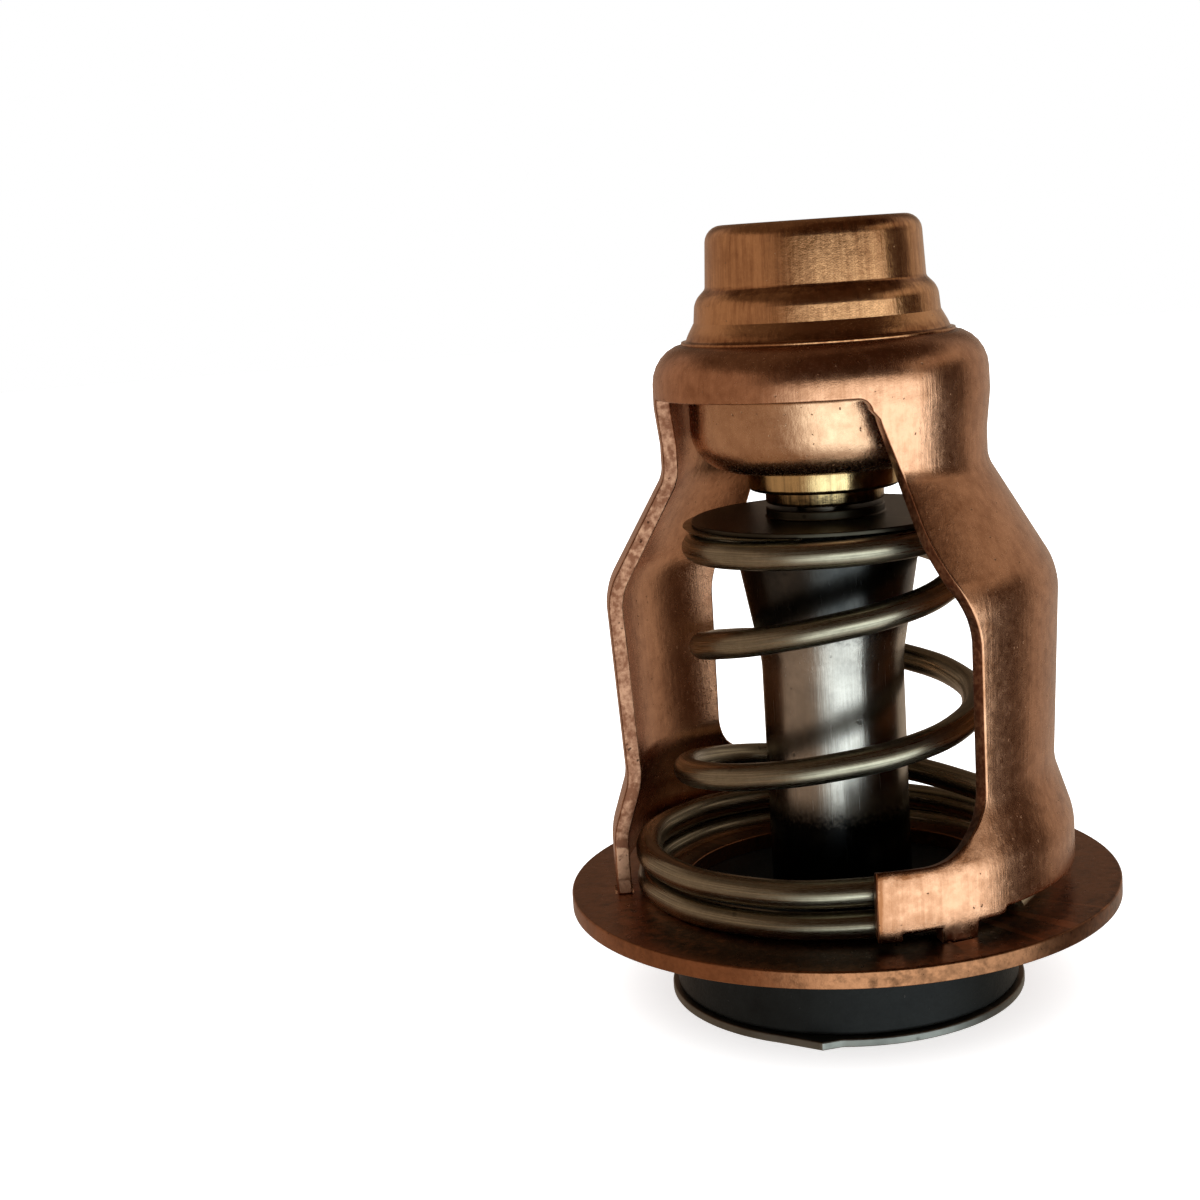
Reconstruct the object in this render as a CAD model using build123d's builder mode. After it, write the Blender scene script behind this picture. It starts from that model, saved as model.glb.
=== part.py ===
from build123d import *
import math
import os

# Wax-capsule thermostat for an engine's cooling water.
# Millimetres. Z is the valve axis, Z = 0 is the underside of the mounting flange,
# and the capsule is at the top. The front of the part faces -Y.

# ---- mounting flange -------------------------------------------------------
flange_radius = 20.0
flange_thickness = 1.2
flange_edge_break = 0.15
seat_radius = 11.5

# ---- pressed cage ----------------------------------------------------------
sheet = 1.2
plate_top = 40.1
plate_hole_radius = 9.4
ring_radius = 11.8
ring_length = 3.8
shoulder_bend = 1.1
waist_radius = 11.5
ring_taper_length = 2.7
waist_length = 2.3
leg_top_radius = 16.1
flare_length = 7.9
leg_foot_radius = 15.45
jog_top = 9.7
foot_radius = 16.75
jog_bottom = 5.7
foot_bottom = 2.25
leg_bend = 4.0

# ---- window between the legs, seen from the front: depths below the top ----
window_depth = 3.2
root_half_width = 3.2
neck_half_width = 4.6
neck_depth = 7.5
knee_half_width = 6.6
knee_depth = 13.7
leg_edge = 9.4
leg_edge_depth = 17.7
tab_top = 6.35
tab_edge = 2.4
tab_fillet = 4.2
root_fillet = 0.9
leg_side_azimuth = 284.0

# ---- lugs that pass through the flange, and the toe of the foot tab --------
lug_azimuths = (27.0, 98.6)
lug_shoulder_width = 2.6
lug_width = 1.7
lug_end = 0.15
lug_overlap = 1.1
slot_clearance = 0.1
toe_azimuth = 11.9
toe_width = 1.9
toe_gap = 0.25

# ---- wax capsule -----------------------------------------------------------
cup_sheet = 0.8
cup_flange_radius = 10.05
cup_base_radius = 8.95
cup_base_length = 3.6
cup_shoulder_radius = 8.5
cup_shoulder_length = 0.75
cap_base_radius = 7.75
cap_length = 4.15
cap_top_radius = 7.5
cup_bend = 0.8

diaphragm_thickness = 0.5

bowl_sheet = 0.8
bowl_radius = 9.3
bowl_depth = 5.35
bowl_bend = 2.6
bowl_flange_bend = 0.7
bowl_hole_radius = 4.75

wax_gap = 0.3

# ---- brass guide -----------------------------------------------------------
guide_body_radius = 7.9
guide_body_chamfer = 2.4
guide_shank_radius = 4.65
guide_collar_radius = 5.4
guide_collar_height = 1.5
guide_collar_chamfer = 0.35
guide_nose_radius = 4.2
guide_nose_length = 1.0
guide_nose_chamfer = 0.25
chamber_radius = 3.3
chamber_depth = 2.6
chamber_fill_radius = 3.0
backup_thickness = 0.6

# ---- piston ----------------------------------------------------------------
piston_radius = 2.0
piston_clearance = 0.05
piston_chamfer = 0.25

# ---- spring retainer -------------------------------------------------------
retainer_radius = 9.6
retainer_gap = 0.3
retainer_thickness = 0.35
retainer_edge_break = 0.1
boss_radius = 4.2
boss_height = 0.65
spigot_radius = 5.6
spigot_depth = 1.05
piston_seat_depth = 0.65

# ---- stem cup --------------------------------------------------------------
stem_sheet = 0.8
stem_radius = 5.1
stem_mouth_radius = 6.7
stem_mouth_length = 1.25
stem_taper_length = 8.9
stem_bend = 0.7

# ---- valve -----------------------------------------------------------------
rubber_radius = 12.85
rubber_bore_radius = 5.4
rubber_thickness = 6.1
rubber_edge_radius = 0.4
valve_plate_radius = 12.95
valve_plate_thickness = 0.9
lug_point_azimuth = -8.0
lug_point_reach = 0.65
lug_point_half_width = 3.4
rivet_radius = 2.5
rivet_hole_radius = 2.6
rivet_head_radius = 3.9
rivet_head_height = 1.0
rivet_countersink_radius = 3.7
rivet_countersink_depth = 0.7

# ---- spring: turns from the left, taper from bottom to top, share of the length
wire_radius = 0.98
spring_bottom_radius = 14.1
spring_top_radius = 9.2
spring_stations = [
    (-0.60, 0.000, -0.0076),
    (-0.25, 0.000, 0.0076),
    (0.00, 0.000, 0.0208),
    (0.25, 0.000, 0.0359),
    (0.62, 0.000, 0.0605),
    (1.00, 0.000, 0.1021),
    (1.25, 0.020, 0.1191),
    (1.62, 0.245, 0.1512),
    (1.80, 0.429, 0.2231),
    (2.00, 0.633, 0.3176),
    (2.25, 0.735, 0.4121),
    (2.65, 0.878, 0.5369),
    (3.00, 0.980, 0.6616),
    (3.25, 1.000, 0.7637),
    (3.50, 1.000, 0.8507),
    (3.75, 0.980, 0.9074),
    (4.00, 0.959, 0.9414),
    (4.22, 0.959, 0.9546),
    (4.50, 0.959, 0.9716),
    (4.75, 0.959, 0.9924),
    (5.00, 0.959, 1.0181),
    (5.22, 0.959, 1.0306),
]
spring_steps_per_turn = 12

# ---- derived heights -------------------------------------------------------
plate_bottom = plate_top - sheet
ring_bottom = plate_top - ring_length
waist_top = ring_bottom - ring_taper_length
flare_top = waist_top - waist_length
flare_bottom = flare_top - flare_length
window_top = plate_top - window_depth
neck_height = plate_top - neck_depth
knee_height = plate_top - knee_depth
leg_edge_top = plate_top - leg_edge_depth
cup_shoulder_height = plate_top + cup_base_length
cap_base_height = cup_shoulder_height + cup_shoulder_length
cap_top = cap_base_height + cap_length
cup_flange_bottom = plate_bottom - cup_sheet
diaphragm_bottom = cup_flange_bottom - diaphragm_thickness
bowl_flange_bottom = diaphragm_bottom - bowl_sheet
bowl_bottom = bowl_flange_bottom - bowl_depth
bowl_bend_split = bowl_flange_bottom - 2 * bowl_sheet
guide_floor = bowl_bottom + bowl_sheet
collar_bottom = bowl_bottom - guide_collar_height
nose_bottom = collar_bottom - guide_nose_length
chamber_floor = diaphragm_bottom - chamber_depth
plug_bottom = chamber_floor + backup_thickness
boss_top = nose_bottom - retainer_gap
retainer_top = boss_top - boss_height
retainer_bottom = retainer_top - retainer_thickness
piston_seat = retainer_bottom - piston_seat_depth
stem_taper_top = retainer_bottom - stem_mouth_length
stem_taper_bottom = stem_taper_top - stem_taper_length
spring_length = retainer_bottom - flange_thickness
plate_face = -rubber_thickness
valve_base = plate_face - valve_plate_thickness
sheet_mid = sheet / 2
lug_radius = foot_radius - sheet_mid
lug_root = foot_bottom + lug_overlap
toe_bottom = flange_thickness + toe_gap
reach = 40.0

os.makedirs("parts", exist_ok=True)


def about_axis(azimuth):
    """Location turned so that its X axis points along an azimuth counted from the front."""
    return Location((0, 0, 0), (0, 0, azimuth - 90))


# ---- cage ------------------------------------------------------------------
leg_side_angle = math.radians(leg_side_azimuth)
with BuildPart() as front_window:
    # outline of the opening, looking at the part from the front
    with BuildSketch(Plane.XZ):
        with BuildLine():
            Polyline(
                (-reach, 0),
                (-reach, window_top),
                (root_half_width, window_top),
                (neck_half_width, neck_height),
                (knee_half_width, knee_height),
                (leg_edge, leg_edge_top),
                (leg_edge, tab_top),
                (tab_edge, tab_top),
                (tab_edge, 0),
                close=True,
            )
        make_face()
        corners = vertices().filter_by(lambda corner: corner.X > 0).sort_by(Axis.X)
        fillet(corners.filter_by(lambda corner: corner.X > knee_half_width).sort_by(Axis.Y)[0], tab_fillet)
        fillet(corners.filter_by(lambda corner: corner.Y > neck_height), root_fillet)
        fillet(corners.filter_by(lambda corner: neck_height > corner.Y > leg_edge_top), tab_fillet)
    extrude(amount=reach)
    # the opening's other side is the flat radial edge of the opposite leg
    with BuildSketch(Plane.XY):
        with BuildLine():
            Polyline(
                (0, 0),
                (reach * math.sin(leg_side_angle), -reach * math.cos(leg_side_angle)),
                (-reach, -reach),
                (reach, -reach),
                (reach, 0),
                close=True,
            )
        make_face()
    extrude(amount=reach, mode=Mode.INTERSECT)

with BuildPart() as cage:
    # section of the sheet, drawn along its middle
    with BuildSketch(Plane.XZ):
        with BuildLine():
            shoulder = FilletPolyline(
                (plate_hole_radius, plate_top - sheet_mid),
                (ring_radius - sheet_mid, plate_top - sheet_mid),
                (ring_radius - sheet_mid, ring_bottom + sheet),
                radius=shoulder_bend,
            )
            FilletPolyline(
                shoulder @ 1,
                (ring_radius - sheet_mid, ring_bottom),
                (waist_radius - sheet_mid, waist_top),
                (waist_radius - sheet_mid, flare_top),
                (leg_top_radius - sheet_mid, flare_bottom),
                (leg_foot_radius - sheet_mid, jog_top),
                (foot_radius - sheet_mid, jog_bottom),
                (foot_radius - sheet_mid, foot_bottom),
                radius=leg_bend,
            )
        trace(line_width=sheet)
    revolve(axis=Axis.Z)
    add(front_window.part, mode=Mode.SUBTRACT)
    add(front_window.part.rotate(Axis.Z, 180), mode=Mode.SUBTRACT)
    for side in (0.0, 180.0):
        # shouldered lugs: the shoulder stands on the flange, the tongue goes through it
        for azimuth in lug_azimuths:
            with Locations(about_axis(azimuth + side) * Location((lug_radius, 0, flange_thickness))):
                Box(
                    sheet,
                    lug_shoulder_width,
                    lug_root - flange_thickness,
                    align=(Align.CENTER, Align.CENTER, Align.MIN),
                )
            with Locations(about_axis(azimuth + side) * Location((lug_radius, 0, lug_end))):
                Box(
                    sheet,
                    lug_width,
                    flange_thickness - lug_end,
                    align=(Align.CENTER, Align.CENTER, Align.MIN),
                )
        # toe at the tab's corner, which stops just short of the flange
        with Locations(about_axis(toe_azimuth + side) * Location((lug_radius, 0, toe_bottom))):
            Box(
                sheet,
                toe_width,
                lug_root - toe_bottom,
                align=(Align.CENTER, Align.CENTER, Align.MIN),
            )
cage.part.label = "cage"
export_step(cage.part, "parts/cage.step")

# ---- mounting flange -------------------------------------------------------
with BuildPart() as seat_flange:
    Cylinder(flange_radius, flange_thickness, align=(Align.CENTER, Align.CENTER, Align.MIN))
    chamfer(seat_flange.edges().filter_by(GeomType.CIRCLE).sort_by(Axis.Z)[-1], flange_edge_break)
    Hole(seat_radius)
    for side in (0.0, 180.0):
        for azimuth in lug_azimuths:
            with Locations(about_axis(azimuth + side) * Location((lug_radius, 0, 0))):
                Box(
                    sheet + 2 * slot_clearance,
                    lug_width + 2 * slot_clearance,
                    3 * flange_thickness,
                    mode=Mode.SUBTRACT,
                )
seat_flange.part.label = "seat_flange"
export_step(seat_flange.part, "parts/seat_flange.step")

# ---- wax capsule: stepped copper cup ---------------------------------------
cup_mid = cup_sheet / 2
with BuildPart() as capsule_cup:
    with BuildSketch(Plane.XZ):
        with BuildLine():
            FilletPolyline(
                (cup_flange_radius, cup_flange_bottom + cup_mid),
                (cup_base_radius - cup_mid, cup_flange_bottom + cup_mid),
                (cup_shoulder_radius - cup_mid, cup_shoulder_height),
                (cap_base_radius - cup_mid, cap_base_height),
                (cap_top_radius - cup_mid, cap_top - cup_mid),
                (0, cap_top - cup_mid),
                radius=cup_bend,
            )
        trace(line_width=cup_sheet)
    revolve(axis=Axis.Z)
capsule_cup.part.label = "capsule_cup"
export_step(capsule_cup.part, "parts/capsule_cup.step")

# ---- wax capsule: filling --------------------------------------------------
wax_base_radius = cup_base_radius - cup_sheet - wax_gap
wax_shoulder_radius = cup_shoulder_radius - cup_sheet - wax_gap
wax_cap_radius = cap_top_radius - cup_sheet - wax_gap
with BuildPart() as wax_pellet:
    with BuildSketch(Plane.XZ):
        with BuildLine():
            Polyline(
                (0, cup_flange_bottom),
                (wax_base_radius, cup_flange_bottom),
                (wax_shoulder_radius, cup_shoulder_height - 2 * cup_bend),
                (wax_cap_radius, cap_base_height - cup_bend),
                (wax_cap_radius, cap_top - cup_sheet - cup_bend),
                (wax_cap_radius - cup_bend, cap_top - cup_sheet - wax_gap),
                (0, cap_top - cup_sheet - wax_gap),
                close=True,
            )
        make_face()
    revolve(axis=Axis.Z)
wax_pellet.part.label = "wax_pellet"
export_step(wax_pellet.part, "parts/wax_pellet.step")

# ---- wax capsule: rubber diaphragm -----------------------------------------
with BuildPart() as diaphragm:
    with Locations((0, 0, diaphragm_bottom)):
        Cylinder(cup_flange_radius, diaphragm_thickness, align=(Align.CENTER, Align.CENTER, Align.MIN))
diaphragm.part.label = "diaphragm"
export_step(diaphragm.part, "parts/diaphragm.step")

# ---- wax capsule: lower bowl -----------------------------------------------
bowl_mid = bowl_sheet / 2
with BuildPart() as capsule_bowl:
    with BuildSketch(Plane.XZ):
        with BuildLine():
            rim = FilletPolyline(
                (cup_flange_radius, bowl_flange_bottom + bowl_mid),
                (bowl_radius - bowl_mid, bowl_flange_bottom + bowl_mid),
                (bowl_radius - bowl_mid, bowl_bend_split),
                radius=bowl_flange_bend,
            )
            FilletPolyline(
                rim @ 1,
                (bowl_radius - bowl_mid, bowl_bottom + bowl_mid),
                (bowl_hole_radius, bowl_bottom + bowl_mid),
                radius=bowl_bend,
            )
        trace(line_width=bowl_sheet)
    revolve(axis=Axis.Z)
capsule_bowl.part.label = "capsule_bowl"
export_step(capsule_bowl.part, "parts/capsule_bowl.step")

# ---- brass guide for the piston --------------------------------------------
with BuildPart() as guide_bush:
    with BuildSketch(Plane.XZ):
        with BuildLine():
            Polyline(
                (piston_radius + piston_clearance, nose_bottom),
                (guide_nose_radius - guide_nose_chamfer, nose_bottom),
                (guide_nose_radius, nose_bottom + guide_nose_chamfer),
                (guide_nose_radius, collar_bottom),
                (guide_collar_radius - guide_collar_chamfer, collar_bottom),
                (guide_collar_radius, collar_bottom + guide_collar_chamfer),
                (guide_collar_radius, bowl_bottom),
                (guide_shank_radius, bowl_bottom),
                (guide_shank_radius, guide_floor),
                (guide_body_radius - guide_body_chamfer, guide_floor),
                (guide_body_radius, guide_floor + guide_body_chamfer),
                (guide_body_radius, diaphragm_bottom),
                (chamber_radius, diaphragm_bottom),
                (chamber_radius, chamber_floor),
                (piston_radius + piston_clearance, chamber_floor),
                close=True,
            )
        make_face()
    revolve(axis=Axis.Z)
guide_bush.part.label = "guide_bush"
export_step(guide_bush.part, "parts/guide_bush.step")

# ---- rubber plug and backing disc above the piston -------------------------
with BuildPart() as rubber_plug:
    with Locations((0, 0, plug_bottom)):
        Cylinder(
            chamber_fill_radius,
            diaphragm_bottom - plug_bottom,
            align=(Align.CENTER, Align.CENTER, Align.MIN),
        )
rubber_plug.part.label = "rubber_plug"
export_step(rubber_plug.part, "parts/rubber_plug.step")

with BuildPart() as backup_disc:
    with Locations((0, 0, chamber_floor)):
        Cylinder(chamber_fill_radius, backup_thickness, align=(Align.CENTER, Align.CENTER, Align.MIN))
backup_disc.part.label = "backup_disc"
export_step(backup_disc.part, "parts/backup_disc.step")

# ---- piston ----------------------------------------------------------------
with BuildPart() as piston:
    with Locations((0, 0, piston_seat)):
        Cylinder(piston_radius, chamber_floor - piston_seat, align=(Align.CENTER, Align.CENTER, Align.MIN))
    chamfer(piston.edges().filter_by(GeomType.CIRCLE), piston_chamfer)
piston.part.label = "piston"
export_step(piston.part, "parts/piston.step")

# ---- spring retainer -------------------------------------------------------
with BuildPart() as spring_retainer:
    with BuildSketch(Plane.XZ):
        with BuildLine():
            Polyline(
                (0, retainer_bottom - spigot_depth),
                (spigot_radius, retainer_bottom - spigot_depth),
                (spigot_radius, retainer_bottom),
                (retainer_radius - retainer_edge_break, retainer_bottom),
                (retainer_radius, retainer_bottom + retainer_edge_break),
                (retainer_radius, retainer_top - retainer_edge_break),
                (retainer_radius - retainer_edge_break, retainer_top),
                (boss_radius, retainer_top),
                (boss_radius, boss_top),
                (piston_radius + piston_clearance, boss_top),
                (piston_radius + piston_clearance, piston_seat),
                (0, piston_seat),
                close=True,
            )
        make_face()
    revolve(axis=Axis.Z)
spring_retainer.part.label = "spring_retainer"
export_step(spring_retainer.part, "parts/spring_retainer.step")

# ---- stem cup --------------------------------------------------------------
stem_mid = stem_sheet / 2
with BuildPart() as stem_cup:
    with BuildSketch(Plane.XZ):
        with BuildLine():
            FilletPolyline(
                (rivet_hole_radius, plate_face + stem_mid),
                (stem_radius - stem_mid, plate_face + stem_mid),
                (stem_radius - stem_mid, stem_taper_bottom),
                (stem_mouth_radius - stem_mid, stem_taper_top),
                (stem_mouth_radius - stem_mid, retainer_bottom),
                radius=stem_bend,
            )
        trace(line_width=stem_sheet)
    revolve(axis=Axis.Z)
stem_cup.part.label = "stem_cup"
export_step(stem_cup.part, "parts/stem_cup.step")

# ---- rubber valve ----------------------------------------------------------
with BuildPart() as valve_rubber:
    with Locations((0, 0, plate_face)):
        Cylinder(rubber_radius, rubber_thickness, align=(Align.CENTER, Align.CENTER, Align.MIN))
    fillet(valve_rubber.edges().filter_by(GeomType.CIRCLE), rubber_edge_radius)
    with Locations((0, 0, plate_face)):
        Cylinder(
            rubber_bore_radius,
            rubber_thickness,
            align=(Align.CENTER, Align.CENTER, Align.MIN),
            mode=Mode.SUBTRACT,
        )
valve_rubber.part.label = "valve_rubber"
export_step(valve_rubber.part, "parts/valve_rubber.step")

# ---- plate under the rubber ------------------------------------------------
with BuildPart() as valve_plate:
    with BuildSketch(Plane.XY.offset(valve_base)):
        Circle(valve_plate_radius)
        with Locations(about_axis(lug_point_azimuth)):
            Polygon(
                (valve_plate_radius - lug_point_reach, -lug_point_half_width),
                (valve_plate_radius + lug_point_reach, 0),
                (valve_plate_radius - lug_point_reach, lug_point_half_width),
                align=None,
            )
        Circle(rivet_hole_radius, mode=Mode.SUBTRACT)
    extrude(amount=valve_plate_thickness)
    with Locations((0, 0, valve_base)):
        Cone(
            rivet_countersink_radius,
            rivet_hole_radius,
            rivet_countersink_depth,
            align=(Align.CENTER, Align.CENTER, Align.MIN),
            mode=Mode.SUBTRACT,
        )
valve_plate.part.label = "valve_plate"
export_step(valve_plate.part, "parts/valve_plate.step")

# ---- rivet that holds stem cup and plate together --------------------------
rivet_gap = rivet_hole_radius - rivet_radius
rivet_seat = plate_face + stem_sheet
with BuildPart() as valve_rivet:
    with BuildSketch(Plane.XZ):
        with BuildLine():
            Polyline(
                (0, valve_base),
                (rivet_countersink_radius - rivet_gap, valve_base),
                (rivet_radius, valve_base + rivet_countersink_depth),
                (rivet_radius, rivet_seat),
                (rivet_head_radius, rivet_seat),
                (rivet_head_radius, rivet_seat + rivet_head_height / 2),
                (rivet_radius, rivet_seat + rivet_head_height),
                (0, rivet_seat + rivet_head_height),
                close=True,
            )
        make_face()
    revolve(axis=Axis.Z)
valve_rivet.part.label = "valve_rivet"
export_step(valve_rivet.part, "parts/valve_rivet.step")

# ---- spring ----------------------------------------------------------------
def wire_point(turn, taper, lift):
    """Point on the wire's centre line, at a turn counted from the left."""
    angle = math.radians(180 + 360 * turn)
    radius = spring_bottom_radius + (spring_top_radius - spring_bottom_radius) * taper
    return (radius * math.cos(angle), radius * math.sin(angle), flange_thickness + spring_length * lift)


spring_path = []
for start, end in zip(spring_stations, spring_stations[1:]):
    steps = max(1, round((end[0] - start[0]) * spring_steps_per_turn))
    for step in range(steps):
        share = step / steps
        spring_path.append(wire_point(*[a + (b - a) * share for a, b in zip(start, end)]))
spring_path.append(wire_point(*spring_stations[-1]))

with BuildPart() as spring:
    with BuildLine() as wire:
        Spline(*spring_path)
    with BuildSketch(Plane(origin=wire.line @ 0, z_dir=wire.line % 0)):
        Circle(wire_radius)
    sweep(path=wire.line)
    # both ends are ground flat
    with Locations((0, 0, flange_thickness)):
        Cylinder(
            flange_radius,
            retainer_bottom - flange_thickness,
            align=(Align.CENTER, Align.CENTER, Align.MIN),
            mode=Mode.INTERSECT,
        )
spring.part.label = "spring"
export_step(spring.part, "parts/spring.step")
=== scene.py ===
import math

import bmesh
import bpy
from bpy.props import FloatProperty, FloatVectorProperty, PointerProperty
from mathutils import Matrix, Vector


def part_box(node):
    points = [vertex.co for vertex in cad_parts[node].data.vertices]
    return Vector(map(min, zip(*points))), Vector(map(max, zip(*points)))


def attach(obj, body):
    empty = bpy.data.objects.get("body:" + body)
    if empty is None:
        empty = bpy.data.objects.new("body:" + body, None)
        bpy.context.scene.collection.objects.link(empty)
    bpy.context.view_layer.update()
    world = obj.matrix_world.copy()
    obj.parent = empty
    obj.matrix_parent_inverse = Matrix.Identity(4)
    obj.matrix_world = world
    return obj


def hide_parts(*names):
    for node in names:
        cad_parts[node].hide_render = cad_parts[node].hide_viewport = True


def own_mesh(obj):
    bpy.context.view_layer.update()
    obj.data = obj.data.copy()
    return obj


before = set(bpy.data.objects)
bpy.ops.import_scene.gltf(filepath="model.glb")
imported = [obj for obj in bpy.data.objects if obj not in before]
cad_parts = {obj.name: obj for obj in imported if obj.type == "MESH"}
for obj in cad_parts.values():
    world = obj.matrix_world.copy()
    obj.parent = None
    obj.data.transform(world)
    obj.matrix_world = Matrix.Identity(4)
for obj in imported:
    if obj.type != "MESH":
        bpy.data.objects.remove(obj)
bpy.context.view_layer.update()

bl_info = {
    "name": "Engine thermostat",
    "version": (1, 0, 0),
    "blender": (4, 5, 0),
    "location": "View3D > Sidebar > Thermostat",
    "description": "Fine meshes and procedural finishes for a wax-capsule engine thermostat",
    "category": "Add Mesh",
}

MM = 0.001
# columns of faces round a spun piece
COLUMNS = 360
# the lugs that pass through the flange, in millimetres and in degrees from the front
LUG_RADIUS = 16.15
LUG_WIDTH = 1.7
LUG_AZIMUTHS = (27.0, 98.6)


# ---- sizes and colours a user would change --------------------------------
def length(name, description, default):
    """A length with its label, given in millimetres and kept in metres."""
    words = {"name": name, "description": description}
    return FloatProperty(**words, default=default * MM, subtype="DISTANCE", unit="LENGTH")


def colour(name, description, default):
    """A linear colour with its label."""
    words = {"name": name, "description": description}
    return FloatVectorProperty(**words, default=default, subtype="COLOR", size=3, min=0, max=1)


class CageSizes(bpy.types.PropertyGroup):
    sheet: length("Sheet", "Thickness of the pressed copper sheet", 1.05)
    top: length("Top", "Height of the cage's top face", 40.1)
    hole: length("Hole", "Radius of the hole the capsule stands in", 9.4)
    ring: length("Ring", "Outer radius of the top ring", 11.8)
    waist: length("Waist", "Outer radius of the waist below the ring", 11.5)
    leg: length("Leg", "Outer radius of the legs below the flare", 16.1)
    leg_foot: length("Leg foot", "Outer radius of the legs above the foot band", 15.45)
    foot: length("Foot", "Outer radius of the foot band", 16.75)
    foot_bottom: length("Foot bottom", "Height of the foot band's lower edge", 2.25)
    edge: length("Edge", "Rounding of the blanked edges", 0.12)


class CapsuleSizes(bpy.types.PropertyGroup):
    sheet: length("Sheet", "Thickness of the drawn copper", 0.8)
    flange: length("Flange", "Radius of the clamped flange", 10.05)
    base: length("Base", "Radius of the cup where it leaves the cage", 8.95)
    cap: length("Cap", "Radius of the cap's wall at its top", 7.5)
    cap_top: length("Cap top", "Height of the cap's top face", 48.6)
    bowl: length("Bowl", "Radius of the lower bowl", 9.3)
    bowl_bottom: length("Bowl bottom", "Height of the bowl's underside", 31.45)


class ValveSizes(bpy.types.PropertyGroup):
    flange: length("Flange", "Radius of the mounting flange", 20.0)
    flange_sheet: length("Flange sheet", "Thickness of the mounting flange", 1.2)
    seat: length("Seat", "Radius of the valve seat's bore", 11.5)
    rubber: length("Rubber", "Radius of the rubber valve", 12.55)
    rubber_depth: length("Rubber depth", "Thickness of the rubber valve", 6.4)
    plate: length("Plate", "Radius of the plate below the rubber", 12.95)
    plate_sheet: length("Plate sheet", "Thickness of that plate", 0.6)
    stem: length("Stem", "Radius of the stem cup", 5.1)
    mouth: length("Mouth", "Radius of the stem cup's mouth", 6.7)
    wire: length("Wire", "Radius of the spring's wire", 0.98)
    coil_bottom: length("Coil bottom", "Radius of the lowest turns, at the wire's middle", 14.1)
    coil_top: length("Coil top", "Radius of the upper turns, at the wire's middle", 9.2)
    retainer: length("Retainer", "Radius of the spring retainer", 9.6)
    retainer_bottom: length("Retainer bottom", "Height of the retainer's underside", 27.65)


class FinishColours(bpy.types.PropertyGroup):
    copper: colour("Copper", "Clean satin copper", (0.66, 0.35, 0.20))
    copper_dark: colour("Dark copper", "Copper where it has browned", (0.27, 0.105, 0.042))
    copper_cut: colour("Cut copper", "Sheared edges of the cage", (0.53, 0.285, 0.17))
    copper_gold: colour("Burnished copper", "Polished cap of the capsule", (0.74, 0.41, 0.20))
    copper_drawn: colour("Drawn copper", "Bowl of the capsule", (0.72, 0.44, 0.26))
    oxide: colour("Oxide", "Brown oxide of the flange", (0.40, 0.175, 0.08))
    brass: colour("Brass", "Turned brass", (0.74, 0.53, 0.25))
    steel: colour("Steel", "Spring steel", (0.37, 0.33, 0.235))
    plated: colour("Plated", "Plated steel of the stem", (0.62, 0.57, 0.49))
    rubber: colour("Rubber", "Black rubber", (0.0035, 0.004, 0.0035))
    floor: colour("Floor", "Pale floor", (0.88, 0.88, 0.88))


# ---- shader helpers --------------------------------------------------------
def feed(tree, socket, value):
    """Gives a socket its value: another node's socket, a number or a colour."""
    if isinstance(value, bpy.types.NodeSocket):
        tree.links.new(value, socket)
    elif socket.type == "RGBA":
        socket.default_value = (*value[:3], 1.0)
    else:
        socket.default_value = value


def node(tree, kind, inputs=(), **settings):
    """Adds a shader node with its settings and the values of its inputs."""
    made = tree.nodes.new("ShaderNode" + kind)
    for name, value in settings.items():
        setattr(made, name, value)
    for name, value in dict(inputs).items():
        feed(tree, made.inputs[name], value)
    return made


def maths(tree, operation, *values, clamp=False):
    """A Math node's result."""
    made = node(tree, "Math", operation=operation, use_clamp=clamp)
    for socket, value in zip(made.inputs, values):
        feed(tree, socket, value)
    return made.outputs[0]


def times(tree, first, second):
    """The product of two values."""
    return maths(tree, "MULTIPLY", first, second)


def plus(tree, first, second, clamp=False):
    """The sum of two values."""
    return maths(tree, "ADD", first, second, clamp=clamp)


def minus(tree, first, second, clamp=False):
    """The difference of two values."""
    return maths(tree, "SUBTRACT", first, second, clamp=clamp)


def scaled(share, colour_parts):
    """A colour made darker or lighter."""
    return tuple(share * part for part in colour_parts)


def band(tree, value, low, high):
    """Rises from 0 to 1 as a value goes from low to high."""
    limits = {"Value": value, "From Min": low, "From Max": high}
    return node(tree, "MapRange", limits, interpolation_type="SMOOTHSTEP").outputs["Result"]


def mixed(tree, share, first, second):
    """One colour mixed with another."""
    made = node(tree, "Mix", data_type="RGBA")
    # a Mix node's factor and its two colours are its sockets 0, 6 and 7
    for place, value in ((0, share), (6, first), (7, second)):
        feed(tree, made.inputs[place], value)
    return made.outputs[2]


def new_group(name, inputs, outputs):
    """An empty shader node group with named sockets and its two end nodes."""
    group = bpy.data.node_groups.new(name, "ShaderNodeTree")
    add = group.interface.new_socket
    for label, kind, default in inputs:
        socket = add(name=label, in_out="INPUT", socket_type="NodeSocket" + kind)
        if default is not None:
            socket.default_value = default
    for label, kind in outputs:
        add(name=label, in_out="OUTPUT", socket_type="NodeSocket" + kind)
    starts = group.nodes.new("NodeGroupInput").outputs
    return group, starts, group.nodes.new("NodeGroupOutput").inputs


def built_once(name):
    """Lets a builder make its node group once and give the same group afterwards."""

    def wrapped(build):
        return lambda: bpy.data.node_groups.get(name) or build(name)

    return wrapped


def placed(tree, group, inputs=()):
    """Places a node group in a material with its own values."""
    made = node(tree, "Group", node_tree=group)
    for name, value in dict(inputs).items():
        feed(tree, made.inputs[name], value)
    return made.outputs


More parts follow.
